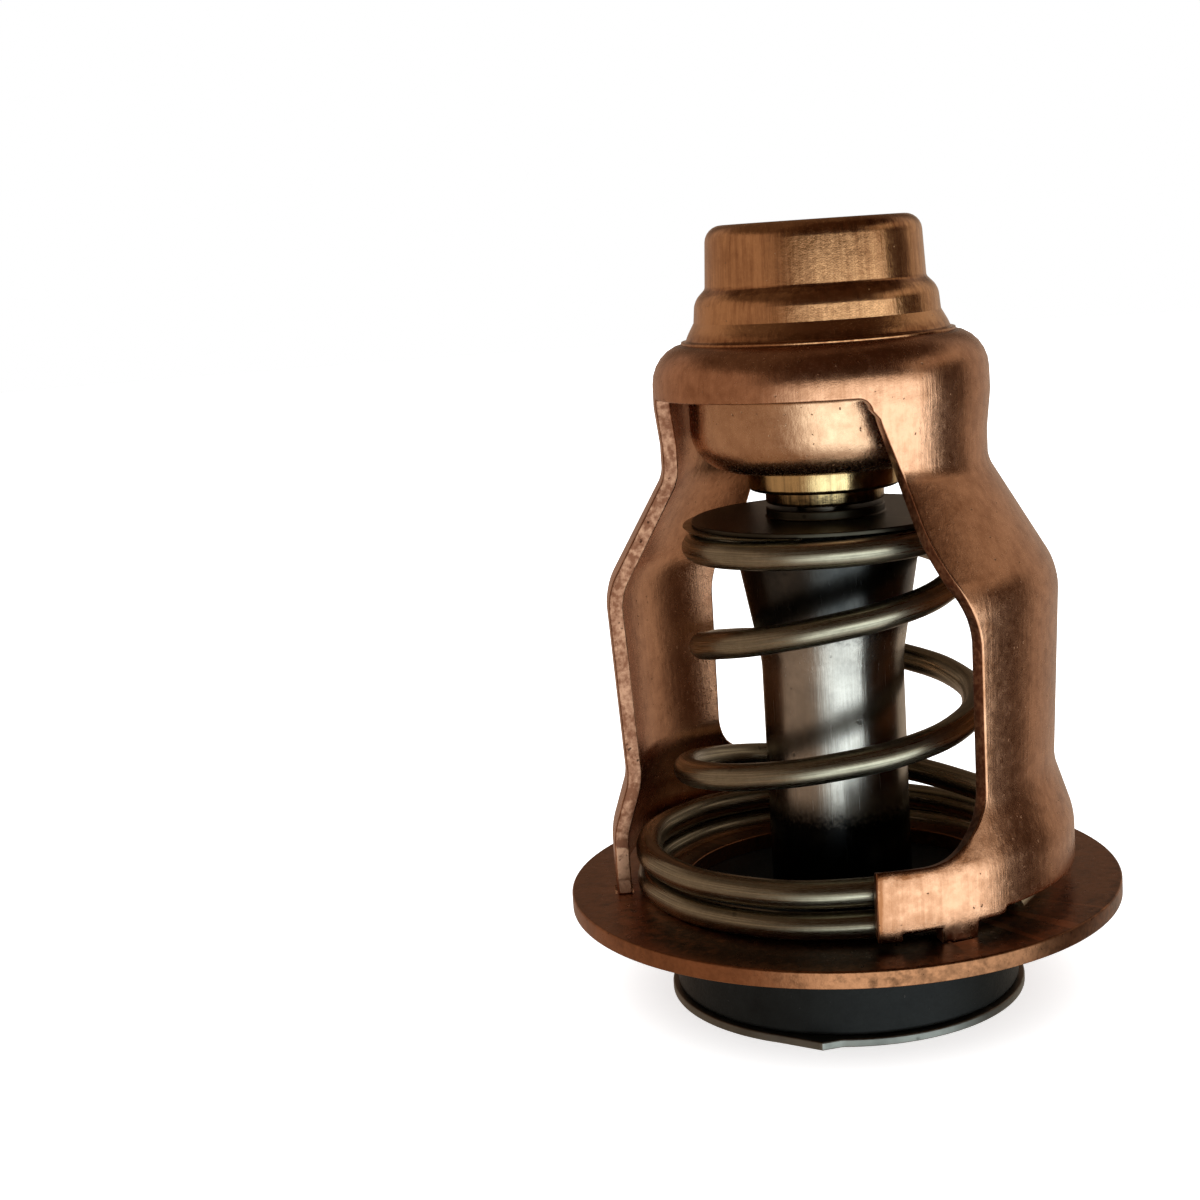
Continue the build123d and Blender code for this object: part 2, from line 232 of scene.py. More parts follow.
@built_once("Turned place")
def turned_place_group(name):
    """Millimetres from the object's origin, and the place round, out from and along its axis."""
    floats = [(label, "Float") for label in ("Round", "Radius", "Height")]
    group, _, ends = new_group(name, (), (("Place", "Vector"), *floats))
    metres = node(group, "TexCoord").outputs["Object"]
    place = node(group, "VectorMath", {0: metres, "Scale": 1 / MM}, operation="SCALE")
    parts = node(group, "SeparateXYZ", {0: place.outputs[0]}).outputs
    group.links.new(place.outputs[0], ends["Place"])
    # the seam of the angle lies at the back
    azimuth = maths(group, "ARCTAN2", parts[0], times(group, parts[1], -1.0))
    group.links.new(azimuth, ends["Round"])
    squares = [maths(group, "POWER", part, 2.0) for part in (parts[0], parts[1])]
    squares = plus(group, *squares)
    group.links.new(maths(group, "SQRT", squares), ends["Radius"])
    group.links.new(parts[2], ends["Height"])
    return group


@built_once("Mottle")
def mottle_group(name):
    """Slow and fine changes of tone, as on handled metal."""
    group, starts, ends = new_group(
        name,
        (("Place", "Vector", None), ("Size", "Float", 3.0), ("Contrast", "Float", 1.0)),
        (("Tone", "Float"), ("Grain", "Float")),
    )
    place = starts["Place"]
    scale = maths(group, "DIVIDE", 1.0, starts["Size"])
    wide = {"Vector": place, "Scale": scale, "Detail": 4.0, "Roughness": 0.62}
    slow = node(group, "TexNoise", wide)
    close = {"Vector": place, "Scale": times(group, scale, 9.0), "Detail": 3.0}
    fine = node(group, "TexNoise", close)
    tone = times(group, minus(group, slow.outputs["Fac"], 0.5), starts["Contrast"])
    group.links.new(plus(group, tone, 0.5, clamp=True), ends["Tone"])
    group.links.new(fine.outputs["Fac"], ends["Grain"])
    return group


@built_once("Draw lines")
def draw_line_group(name):
    """Fine lines left by the press tool, along the valve axis or round it."""
    group, starts, ends = new_group(
        name,
        (("Place", "Vector", None), ("Across", "Float", 3.0), ("Along", "Float", 0.12)),
        (("Lines", "Float"), ("Broad", "Float")),
    )
    stretches = {0: starts["Across"], 1: starts["Across"], 2: starts["Along"]}
    stretch = node(group, "CombineXYZ", stretches).outputs[0]
    drawn = node(group, "VectorMath", {0: starts["Place"], 1: stretch}, operation="MULTIPLY")
    drawn = drawn.outputs[0]
    close = {"Vector": drawn, "Scale": 1.0, "Detail": 3.0, "Roughness": 0.7}
    fine = node(group, "TexNoise", close)
    broad = node(group, "TexNoise", {"Vector": drawn, "Scale": 0.22, "Detail": 2.0})
    group.links.new(fine.outputs["Fac"], ends["Lines"])
    group.links.new(broad.outputs["Fac"], ends["Broad"])
    return group


@built_once("Specks")
def speck_group(name):
    """Small dark spots and pits, scattered unevenly."""
    floats = (("Spacing", "Float", 1.2), ("Size", "Float", 0.16), ("Amount", "Float", 0.5))
    inputs = (("Place", "Vector", None), *floats)
    group, starts, ends = new_group(name, inputs, (("Mask", "Float"),))
    place = starts["Place"]
    scale = maths(group, "DIVIDE", 1.0, starts["Spacing"])
    bent = node(group, "TexNoise", {"Vector": place, "Scale": times(group, scale, 3.0)})
    shift = node(group, "VectorMath", {0: bent.outputs["Color"], "Scale": 0.35}, operation="SCALE")
    moved = node(group, "VectorMath", {0: place, 1: shift.outputs[0]}, operation="ADD")
    cells = node(group, "TexVoronoi", {"Vector": moved.outputs[0], "Scale": scale})
    chosen = node(group, "SeparateColor", {0: cells.outputs["Color"]}).outputs[0]
    reach = times(group, starts["Size"], plus(group, chosen, 0.3))
    way_out = maths(group, "DIVIDE", cells.outputs["Distance"], reach)
    inside = minus(group, 1.0, way_out, clamp=True)
    kept = maths(group, "LESS_THAN", chosen, starts["Amount"])
    group.links.new(times(group, band(group, inside, 0.0, 0.5), kept), ends["Mask"])
    return group


@built_once("Rubbed corners")
def rub_group(name):
    """Masks of worn corners, where the surface turns outwards, and of creases, where it turns
    inwards.
    """
    group, starts, ends = new_group(
        name, (("Break up", "Float", 0.5),), (("Worn", "Float"), ("Grimy", "Float"))
    )
    point = node(group, "NewGeometry").outputs["Pointiness"]
    uneven = maths(group, "MULTIPLY_ADD", starts["Break up"], 0.03, -0.015)
    bent = plus(group, point, uneven)
    group.links.new(band(group, bent, 0.52, 0.57), ends["Worn"])
    group.links.new(band(group, bent, 0.48, 0.44), ends["Grimy"])
    return group


def new_material(name):
    """The node tree and the Principled shader of a new material."""
    material = bpy.data.materials.new(name)
    material.use_nodes = True
    tree = material.node_tree
    return tree, next(made for made in tree.nodes if made.type == "BSDF_PRINCIPLED")


def bumped(tree, shader, height, depth):
    """Feeds a relief of a depth in millimetres through a Bump node into the shader."""
    bump = node(tree, "Bump", {"Height": height, "Distance": depth * MM, "Strength": 1.0})
    tree.links.new(bump.outputs["Normal"], shader.inputs["Normal"])


def add_stain_and_painted_light_bands(tree, amount, spot, waver, stains):
    """Adds a share to an amount within (place, low, high) limits, whose borders waver: bands of
    real stain, of painted shade and of painted highlight.
    """
    for share, *limits in stains:
        here = share
        for along, low, high in limits:
            soft = min(0.4 * (high - low), 1.6)
            wander = maths(tree, "MULTIPLY_ADD", minus(tree, waver, 0.5), soft, spot[along])
            off = maths(tree, "ABSOLUTE", minus(tree, wander, (low + high) / 2))
            inside = band(tree, off, (high - low + soft) / 2, (high - low - soft) / 2)
            here = times(tree, inside, here)
        amount = plus(tree, amount, here, clamp=True)
    return amount


def copper_material(name, clean, dark, cut, **looks):
    """Satin copper in its clean colour, browned to its dark one, with worn corners as cut."""
    look = {
        "rough": 0.25,
        "brown": 0.45,
        "patch": 5.0,
        "skin": 0.3,
        "lines": 0.35,
        "along": 0.1,
        "specks": 0.3,
        "orange_peel": 0.0,
        "edge": 0.6,
        "stains": (),
    }
    look.update(looks)
    tree, shader = new_material(name)
    spot = placed(tree, turned_place_group())
    at = {"Place": spot["Place"]}
    tone = placed(tree, mottle_group(), {**at, "Size": look["patch"], "Contrast": 2.6})
    skin = placed(tree, mottle_group(), {**at, "Size": 0.9, "Contrast": 3.0})
    lines = placed(tree, draw_line_group(), {**at, "Across": 3.2, "Along": look["along"]})
    pits = {"Spacing": 0.6, "Size": 0.2, "Amount": look["specks"]}
    specks = placed(tree, speck_group(), {**at, **pits})
    rub = placed(tree, rub_group(), {"Break up": tone["Grain"]})
    streak = times(tree, minus(tree, lines["Lines"], 0.5), 2.0 * look["lines"])
    brown = times(tree, tone["Tone"], look["brown"])
    uneven = times(tree, minus(tree, skin["Tone"], 0.5), look["skin"])
    brown = plus(tree, brown, uneven)
    brown = plus(tree, brown, streak, clamp=True)
    # the bands add real stains, painted shade and painted highlight to the browning, as each finish
    # gives them
    brown = add_stain_and_painted_light_bands(tree, brown, spot, skin["Tone"], look["stains"])
    base = mixed(tree, brown, clean, dark)
    base = mixed(tree, times(tree, specks["Mask"], 0.55), base, scaled(0.4, dark))
    # darker in the creases
    base = mixed(tree, times(tree, rub["Grimy"], 0.6), base, scaled(0.5, dark))
    base = mixed(tree, times(tree, rub["Worn"], look["edge"]), base, cut)
    tree.links.new(base, shader.inputs["Base Color"])
    shader.inputs["Metallic"].default_value = 1.0
    rough = maths(tree, "MULTIPLY_ADD", tone["Grain"], 0.16, look["rough"] - 0.08)
    rough = plus(tree, rough, times(tree, specks["Mask"], 0.25), clamp=True)
    tree.links.new(rough, shader.inputs["Roughness"])
    relief = times(tree, lines["Lines"], 0.5)
    relief = plus(tree, relief, times(tree, tone["Grain"], 0.5))
    relief = plus(tree, relief, times(tree, skin["Grain"], 0.25))
    relief = minus(tree, relief, times(tree, specks["Mask"], 0.8))
    if look["orange_peel"]:
        cells = {"Vector": spot["Place"], "Scale": 1.6}
        peel = node(tree, "TexVoronoi", cells, feature="SMOOTH_F1").outputs["Distance"]
        relief = plus(tree, relief, times(tree, peel, look["orange_peel"]))
    bumped(tree, shader, relief, 0.025)


def steel_material(name, tint, rough, streak, turned=0.0, wire=False, stains=()):
    """Steel with fine scratches, turning marks or a wire's drawing lines, and small spots of stain;
    any bands it is given are painted shade.
    """
    tree, shader = new_material(name)
    spot = placed(tree, turned_place_group())
    at = {"Place": spot["Place"]}
    tone = placed(tree, mottle_group(), {**at, "Size": 2.6, "Contrast": 1.8})
    lines = placed(tree, draw_line_group(), {**at, "Across": 5.0, "Along": streak})
    stain = placed(tree, speck_group(), {**at, "Spacing": 1.5, "Size": 0.3, "Amount": 0.3})
    rub = placed(tree, rub_group(), {"Break up": tone["Grain"]})
    ring_place = {0: times(tree, spot["Radius"], 7.0), 2: times(tree, spot["Height"], 7.0)}
    rings = node(tree, "CombineXYZ", ring_place).outputs[0]
    ring = node(tree, "TexNoise", {"Vector": rings, "Scale": 1.0, "Detail": 2.0}).outputs["Fac"]
    mark = plus(tree, times(tree, ring, turned), times(tree, lines["Lines"], 1.0 - turned))
    if wire:
        # the way a wire's skin faces is its place round the wire
        normal = node(tree, "NewGeometry").outputs["Normal"]
        faces = node(tree, "SeparateXYZ", {0: normal}).outputs[2]
        line_place = {0: times(tree, faces, 9.0), 1: times(tree, spot["Round"], 1.2)}
        drawn = node(tree, "CombineXYZ", line_place).outputs[0]
        close = {"Vector": drawn, "Scale": 1.0, "Detail": 4.0, "Roughness": 0.65}
        mark = band(tree, node(tree, "TexNoise", close).outputs["Fac"], 0.36, 0.64)
    marked = 0.6 if wire else 0.3
    dull = maths(
        tree, "MULTIPLY_ADD", tone["Tone"], 1.0 - marked, times(tree, mark, marked), clamp=True
    )
    base = mixed(tree, dull, tint, scaled(0.42, tint))
    base = mixed(tree, times(tree, stain["Mask"], 0.6), base, scaled(0.2, tint))
    if stains:
        # bands of painted shade and painted dark reflection, towards near black
        shadow = add_stain_and_painted_light_bands(tree, times(tree, tone["Tone"], 0.1), spot, tone["Grain"], stains)
        base = mixed(tree, shadow, base, (0.02, 0.022, 0.022))
    bright = tuple(min(1.0, part) for part in scaled(1.6, tint))
    base = mixed(tree, times(tree, rub["Worn"], 0.5), base, bright)
    tree.links.new(base, shader.inputs["Base Color"])
    shader.inputs["Metallic"].default_value = 1.0
    roughness = maths(tree, "MULTIPLY_ADD", mark, 0.2, rough - 0.1, clamp=True)
    tree.links.new(roughness, shader.inputs["Roughness"])
    bumped(tree, shader, minus(tree, mark, times(tree, stain["Mask"], 0.5)), 0.012)


def rubber_material(name, tint):
    """Moulded black rubber with dust, fine pores and a dull sheen."""
    tree, shader = new_material(name)
    spot = placed(tree, turned_place_group())
    at = {"Place": spot["Place"]}
    tone = placed(tree, mottle_group(), {**at, "Size": 2.0, "Contrast": 1.6})
    dust = placed(tree, speck_group(), {**at, "Spacing": 0.55, "Size": 0.22, "Amount": 0.3})
    base = mixed(tree, tone["Tone"], tint, scaled(2.6, tint))
    base = mixed(tree, times(tree, dust["Mask"], 0.15), base, (0.16, 0.15, 0.14))
    tree.links.new(base, shader.inputs["Base Color"])
    roughness = maths(tree, "MULTIPLY_ADD", tone["Grain"], 0.25, 0.38)
    tree.links.new(roughness, shader.inputs["Roughness"])
    shader.inputs["Specular IOR Level"].default_value = 0.12
    bumped(tree, shader, plus(tree, tone["Grain"], dust["Mask"]), 0.02)


# ---- mesh helpers ----------------------------------------------------------
def wire_section(bm, corners, closed):
    """Draws a section of (radius, height, rounding) corners in millimetres, in the XZ plane."""
    verts = [bm.verts.new((radius * MM, 0.0, height * MM)) for radius, height, _ in corners]
    for first, second in zip(verts, verts[1:] + verts[:1] if closed else verts[1:]):
        bm.edges.new((first, second))
    for vert, (_, _, rounding) in zip(verts, corners):
        if rounding:
            bmesh.ops.bevel(
                bm,
                geom=[vert],
                offset=rounding * MM,
                offset_type="OFFSET",
                segments=6,
                profile=0.5,
                affect="VERTICES",
                material=-1,
            )


def turn_to(bm, azimuth, verts):
    """Turns what was drawn on the X axis to an azimuth in degrees, counted from the front."""
    turn = Matrix.Rotation(math.radians(azimuth - 90), 3, "Z")
    bmesh.ops.rotate(bm, cent=(0, 0, 0), matrix=turn, verts=verts)


def azimuth_of(place):
    """Azimuth of a place in degrees, counted from the front."""
    return math.degrees(math.atan2(place.x, -place.y))


def half_turned(angle):
    """The same angle in degrees, between -180 and 180."""
    return (angle + 180) % 360 - 180


def spin_round(bm, first_column=0.0, columns=COLUMNS):
    """Spins everything in the mesh once round the valve axis, from an azimuth in degrees."""
    turn_to(bm, first_column, bm.verts)
    bmesh.ops.spin(
        bm,
        geom=bm.verts[:] + bm.edges[:],
        cent=(0, 0, 0),
        axis=(0, 0, 1),
        dvec=(0, 0, 0),
        angle=math.tau,
        steps=columns,
        use_merge=True,
        use_duplicate=False,
    )
    bmesh.ops.remove_doubles(bm, verts=bm.verts, dist=1e-7)
    bmesh.ops.recalc_face_normals(bm, faces=bm.faces)


def tangent(radius, turn):
    """How far from a corner its fillet starts, where the section turns by an angle in degrees."""
    return radius * math.tan(math.radians(turn) / 2)


def to_object(bm, name, *materials):
    """Makes an object at the origin from a bmesh, with materials named in order."""
    mesh = bpy.data.meshes.new(name)
    bm.to_mesh(mesh)
    bm.free()
    piece = bpy.data.objects.new(name, mesh)
    bpy.context.scene.collection.objects.link(piece)
    for material in materials:
        mesh.materials.append(bpy.data.materials[material])
    return piece


def finished(piece, thickness=0.0, edge=0.0, rim_material=0, sharp=32.0):
    """Applies a wall's thickness and its rounded edges, and shades smooth between corners."""
    if thickness:
        wall = piece.modifiers.new("Wall", "SOLIDIFY")
        wall.thickness = thickness
        wall.offset = 0.0
        wall.use_even_offset = True
        wall.use_quality_normals = True
        wall.material_offset_rim = rim_material
    if edge:
        rounding = piece.modifiers.new("Edges", "BEVEL")
        rounding.width = edge
        rounding.segments = 3
        rounding.limit_method = "ANGLE"
        rounding.angle_limit = math.radians(50)
        rounding.use_clamp_overlap = False
        rounding.miter_outer = "MITER_ARC"
    bpy.context.view_layer.update()
    graph = bpy.context.evaluated_depsgraph_get()
    mesh = bpy.data.meshes.new_from_object(piece.evaluated_get(graph))
    rough_mesh = piece.data
    piece.modifiers.clear()
    piece.data = mesh
    mesh.name = rough_mesh.name
    bpy.data.meshes.remove(rough_mesh)
    mesh.shade_smooth()
    mesh.set_sharp_from_angle(angle=math.radians(sharp))
    weights = piece.modifiers.new("Normals", "WEIGHTED_NORMAL")
    weights.keep_sharp = True
    return piece


def dress(piece, body, nodes):
    """Lets a piece stand for its CAD nodes."""
    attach(piece, body)
    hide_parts(*nodes)


def turned_piece(
    name, material, corners, closed=True, thickness=0.0, edge=0.0, columns=COLUMNS
):
    """A piece whose section is spun round the valve axis."""
    bm = bmesh.new()
    wire_section(bm, corners, closed)
    spin_round(bm, columns=columns)
    return finished(to_object(bm, name, material), thickness, edge)


# ---- operators -------------------------------------------------------------
class THERMOSTAT_OT_stage(bpy.types.Operator):
    """Builds the floor, the soft studio light and the camera"""

    bl_idname = "thermostat.stage"
    bl_label = "Stage"

    floor_radius = 0.9
    # the name, place, width and power of each lamp
    softboxes = (
        ("key_softbox", (-0.14, -0.22, 0.42), 0.36, 0.45),
        ("fill_softbox", (0.26, -0.06, 0.36), 0.36, 0.2),
    )
    softbox_aim = (0.0, 0.0, 0.02)
    camera_place = (0.0, -0.140, 0.0481)
    # yaw, pitch and roll in degrees
    camera_angles = (-6.765, 10.328, -3.903)
    camera_lens = 58.99

    def room(self):
        """A dim room to reflect, with a bright table before it, behind a white backdrop."""
        world = bpy.data.worlds.new("studio")
        world.use_nodes = True
        world.cycles.sampling_method = "NONE"
        tree = world.node_tree
        aim = node(tree, "SeparateXYZ", {0: node(tree, "TexCoord").outputs["Generated"]}).outputs
        to_degrees = math.degrees(1)
        azimuth = maths(tree, "ARCTAN2", aim[0], times(tree, aim[1], -1.0))
        azimuth = times(tree, azimuth, to_degrees)
        rise = times(tree, maths(tree, "ARCSINE", aim[2]), to_degrees)
        wide = maths(tree, "ABSOLUTE", azimuth)

        def region(*limits):
            """A mask with soft borders from (angle, where it is 0, where it is 1) limits."""
            product = band(tree, *limits[0])
            for limit in limits[1:]:
                product = times(tree, product, band(tree, *limit))
            return product

        beside = maths(
            tree, "MAXIMUM", region((azimuth, 58.0, 76.0)), region((azimuth, -22.0, -62.0))
        )
        high = times(tree, beside, region((wide, 165.0, 140.0)))
        high = times(tree, high, region((rise, 44.0, 28.0)))
        under_ceiling = maths(tree, "MAXIMUM", region((rise, 17.0, 4.0)), high)
        gap = region(
            (azimuth, 78.0, 81.0), (azimuth, 124.0, 108.0), (rise, -36.0, -26.0), (rise, 26.0, 12.0)
        )
        table = region((azimuth, -34.0, 8.0), (azimuth, 80.0, 76.0), (rise, 14.0, 6.0))
        near = region((rise, 9.0, -6.0))
        shade = region((rise, -24.0, -60.0))
        front = region((azimuth, -70.0, -10.0), (azimuth, 150.0, 120.0))
        back = region((wide, 150.0, 172.0), (rise, 8.0, 16.0), (rise, 45.0, 28.0))
        ceiling = mixed(tree, front, (0.11, 0.070, 0.045), (0.047, 0.023, 0.012))
        ceiling = mixed(tree, back, ceiling, (0.14, 0.092, 0.060))
        walls = times(tree, under_ceiling, minus(tree, 1.0, times(tree, gap, 0.97)))
        right = region((azimuth, -25.0, 25.0))
        wall = mixed(tree, right, (0.39, 0.28, 0.21), (0.47, 0.38, 0.30))
        light = mixed(tree, walls, ceiling, wall)
        light = mixed(tree, table, light, (1.10, 1.08, 1.0))
        light = mixed(tree, times(tree, table, near), light, (2.1, 2.4, 2.6))
        light = mixed(tree, times(tree, shade, 0.85), light, (0.33, 0.22, 0.145))
        room = tree.nodes["Background"]
        tree.links.new(light, room.inputs["Color"])
        backdrop = node(tree, "Background", {"Color": (1.0, 1.0, 1.0)})
        ray = node(tree, "LightPath").outputs
        seen = plus(tree, ray["Is Camera Ray"], ray["Is Diffuse Ray"], clamp=True)
        ends = {0: seen, 1: room.outputs[0], 2: backdrop.outputs[0]}
        shown = node(tree, "MixShader", ends)
        tree.links.new(shown.outputs[0], tree.nodes["World Output"].inputs["Surface"])
        return world

    def floor(self, pale):
        """A pale floor under the plate that the part stands on."""
        tree, shader = new_material("pale_floor")
        spot = placed(tree, turned_place_group())
        cloudy = {"Vector": spot["Place"], "Scale": 0.06, "Detail": 3.0}
        grain = node(tree, "TexNoise", cloudy).outputs["Fac"]
        base = mixed(tree, times(tree, grain, 0.1), pale, scaled(0.93, pale))
        tree.links.new(base, shader.inputs["Base Color"])
        shader.inputs["Roughness"].default_value = 0.9
        # the floor glows, with emission of strength 0.5 by the part rising to 1 at 100 mm, so that
        # its sweep runs out into white
        sweep = band(tree, spot["Radius"], -100.0, 100.0)
        tree.links.new(sweep, shader.inputs["Emission Strength"])
        shader.inputs["Emission Color"].default_value = (1.0, 1.0, 1.0, 1.0)
        bm = bmesh.new()
        bmesh.ops.create_circle(bm, cap_ends=True, segments=96, radius=self.floor_radius)
        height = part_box("valve_plate")[0][2]
        bmesh.ops.translate(bm, vec=(0, 0, height), verts=bm.verts)
        floor = to_object(bm, "floor", "pale_floor")
        floor.visible_glossy = False

    def execute(self, context):
        scene = context.scene
        self.floor(tuple(scene.thermostat_finish.floor))
        scene.view_settings.view_transform = "Standard"
        scene.world = self.room()
        for name, place, size, power in self.softboxes:
            lamp = bpy.data.lights.new(name, "AREA")
            lamp.shape = "SQUARE"
            lamp.size = size
            lamp.energy = power
            held = bpy.data.objects.new(name, lamp)
            aim = (Vector(self.softbox_aim) - Vector(place)).to_track_quat("-Z", "Y")
            held.matrix_world = Matrix.Translation(place) @ aim.to_matrix().to_4x4()
            held.visible_glossy = False
            scene.collection.objects.link(held)

        yaw, pitch, roll = (math.radians(angle) for angle in self.camera_angles)
        level = Vector((math.cos(yaw), -math.sin(yaw), 0.0))
        forward = Vector(
            (math.sin(yaw) * math.cos(pitch), math.cos(yaw) * math.cos(pitch), -math.sin(pitch))
        )
        upright = level.cross(forward)
        right = math.cos(roll) * level + math.sin(roll) * upright
        up = -math.sin(roll) * level + math.cos(roll) * upright
        lens = bpy.data.cameras.new("camera")
        lens.sensor_width = 36.0
        lens.lens = self.camera_lens
        lens.clip_start = 0.01
        camera = bpy.data.objects.new("camera", lens)
        turn = Matrix((right, up, -forward)).transposed().to_4x4()
        camera.matrix_world = Matrix.Translation(self.camera_place) @ turn
        scene.collection.objects.link(camera)
        scene.camera = camera
        return {"FINISHED"}


class THERMOSTAT_OT_cage(bpy.types.Operator):
    """Presses the two-legged cage: ring, shoulder, legs, foot band, tabs and lugs"""

    bl_idname = "thermostat.cage"
    bl_label = "Cage"

    # azimuths in degrees of a leg's two edges in the sheet, the width of a tab in it, and how
    # far to either side the root's fillet eases out
    root_column = 15.0
    side_column = 104.0
    tab_columns = 20.0
    ease_left = 4
    ease_right = 12
    # heights, and distances from the middle plane seen from the front, in millimetres
    window_top = 36.9
    window_fade = 1.3
    jog_bottom = 5.7
    root_fillet = 0.9
    tab_fillet = 4.2
    tab_top = 6.35
    tab_edge = 2.05
    root_edge = 3.2
    leg_edge = 9.4
    # the foot band's lower edge lies higher beyond an azimuth
    step_azimuth = 39.5
    step_height = 0.45
    # how far apart the rows of faces lie in the foot band and in the legs, and how many
    foot_rows = (0.35, 15)
    leg_rows = (0.5, 62)
    # widths of lug and toe, and the heights at which they end
    lug_shoulder_width = 2.6
    lug_shoulder = 1.2
    lug_end = 0.15
    toe_azimuth = 10.2
    toe_width = 1.65
    toe_end = 1.75
    # a bend of the sheet, and how far its top rises to the capsule
    bend = 4.0
    rise_at_hole = 0.45
    rise_at_ring = 0.25
    # the leg's edge from top to foot, as (distance from the middle plane, height)
    edge_line = ((3.2, 36.7), (4.6, 32.6), (6.6, 26.4), (9.4, 22.4), (9.4, 0.0))

    def section(self, sizes):
        """The sheet's middle line, from the hole in the top to the foot."""
        half = sizes.sheet / MM / 2
        top = sizes.top / MM
        ring, waist = sizes.ring / MM - half, sizes.waist / MM - half
        leg, leg_foot = sizes.leg / MM - half, sizes.leg_foot / MM - half
        foot = sizes.foot / MM - half
        return (
            (sizes.hole / MM, top - half + self.rise_at_hole, 0.0),
            (ring - 0.06, top - half + self.rise_at_ring, 2.0),
            (ring, top - 3.8, tangent(self.bend, 6)),
            (waist, top - 6.5, tangent(self.bend, 6)),
            (waist, top - 8.8, tangent(2.6, 30)),
            (leg, top - 16.7, tangent(self.bend, 33)),
            (leg_foot, 9.7, tangent(self.bend, 21)),
            (foot, self.jog_bottom, tangent(self.bend, 18)),
            (foot, sizes.foot_bottom / MM, 0.0),
        )

    def edge_at(self, height):
        """Distance of the leg's edge from the middle plane, seen from the front."""
        for (low_x, high_z), (high_x, low_z) in zip(self.edge_line, self.edge_line[1:]):
            if height >= low_z:
                share = min(1.0, max(0.0, (high_z - height) / (high_z - low_z)))
                return low_x + (high_x - low_x) * share
        return self.leg_edge

    def softened_edge(self, height):
        """The same with its corners eased."""
        reach = (-1.8, -1.2, -0.6, 0.0, 0.6, 1.2, 1.8)
        return sum(self.edge_at(height + step) for step in reach) / len(reach)

    def draw_down(self, bm, azimuth, width, start, end):
        """Lengthens the sheet's lower edge down from a height, over a width about an azimuth."""

        def off_centre(vert):
            return half_turned(azimuth_of(vert.co) - azimuth)

        def near(vert):
            return abs(vert.co.z / MM - start) < 0.02 and abs(off_centre(vert)) < reach + 0.4

        reach = math.degrees(width / 2 / LUG_RADIUS)
        edges = [edge for edge in bm.edges if edge.is_boundary and all(map(near, edge.verts))]
        for made in bmesh.ops.extrude_edge_only(bm, edges=edges)["geom"]:
            if isinstance(made, bmesh.types.BMVert):
                angle = math.radians(azimuth + min(reach, max(-reach, off_centre(made))))
                out = (LUG_RADIUS * math.sin(angle), -LUG_RADIUS * math.cos(angle), end)
                made.co = Vector(out) * MM

    def execute(self, context):
        sizes = context.scene.thermostat_cage
        # a fillet is split at its middle, this share of its radius from the straight edge
        middle = 1 - math.sqrt(0.5)
        tab_split = self.tab_top + self.tab_fillet * middle
        tab_split_edge = self.leg_edge - self.tab_fillet * middle
        root_split = self.window_top - self.root_fillet * middle
        root_split_edge = self.root_edge - self.root_fillet * middle
        foot_bottom = sizes.foot_bottom / MM

        bm = bmesh.new()
        wire_section(bm, self.section(sizes), False)
        heights = [tab_split, self.window_top]
        for base, (spacing, count) in ((foot_bottom, self.foot_rows), (tab_split, self.leg_rows)):
            heights += [base + spacing * step for step in range(1, count)]
        for height in heights:
            nearest = min(abs(vert.co.z / MM - height) for vert in bm.verts)
            if nearest < 0.15 and height not in heights[:2]:
                continue
            bmesh.ops.bisect_plane(
                bm,
                geom=bm.verts[:] + bm.edges[:],
                dist=2e-5,
                plane_co=(0, 0, height * MM),
                plane_no=(0, 0, 1),
            )
        below_window = (self.window_top + 0.1) * MM
        line = sorted(
            (vert.co.z / MM, vert.co.x / MM) for vert in bm.verts if vert.co.z < below_window
        )

        def radius_at(height):
            for (low, low_radius), (high, high_radius) in zip(line, line[1:]):
                if height <= high:
                    grow = high_radius - low_radius
                    return low_radius + grow * (height - low) / (high - low)
            return line[-1][1]

        def angle_of(edge, height):
            return math.degrees(math.asin(edge / radius_at(height)))

        spin_round(bm, self.side_column)
        start, side = self.root_column, self.side_column

        def in_half(place):
            """Azimuth within one half of the cage, and that half's own turn."""
            azimuth = azimuth_of(place)
            turn = 0.0 if side - 180 - 0.01 < azimuth < side + 0.01 else 180.0
            return half_turned(azimuth - turn), turn

        def in_window(face):
            place = face.calc_center_median()
            azimuth, _ = in_half(place)
            if not side - 180 < azimuth < start or place.z > self.window_top * MM:
                return False
            return azimuth < start - self.tab_columns or place.z > tab_split * MM

        cut_out = [face for face in bm.faces if in_window(face)]
        bmesh.ops.delete(bm, geom=cut_out, context="FACES")
        for vert in bm.verts:
            height = vert.co.z / MM
            azimuth, turn = in_half(vert.co)
            above = height > self.window_top + self.window_fade
            if above or azimuth > side - 0.01 or azimuth < side - 179.99:
                continue
            if height > self.window_top - 0.05:
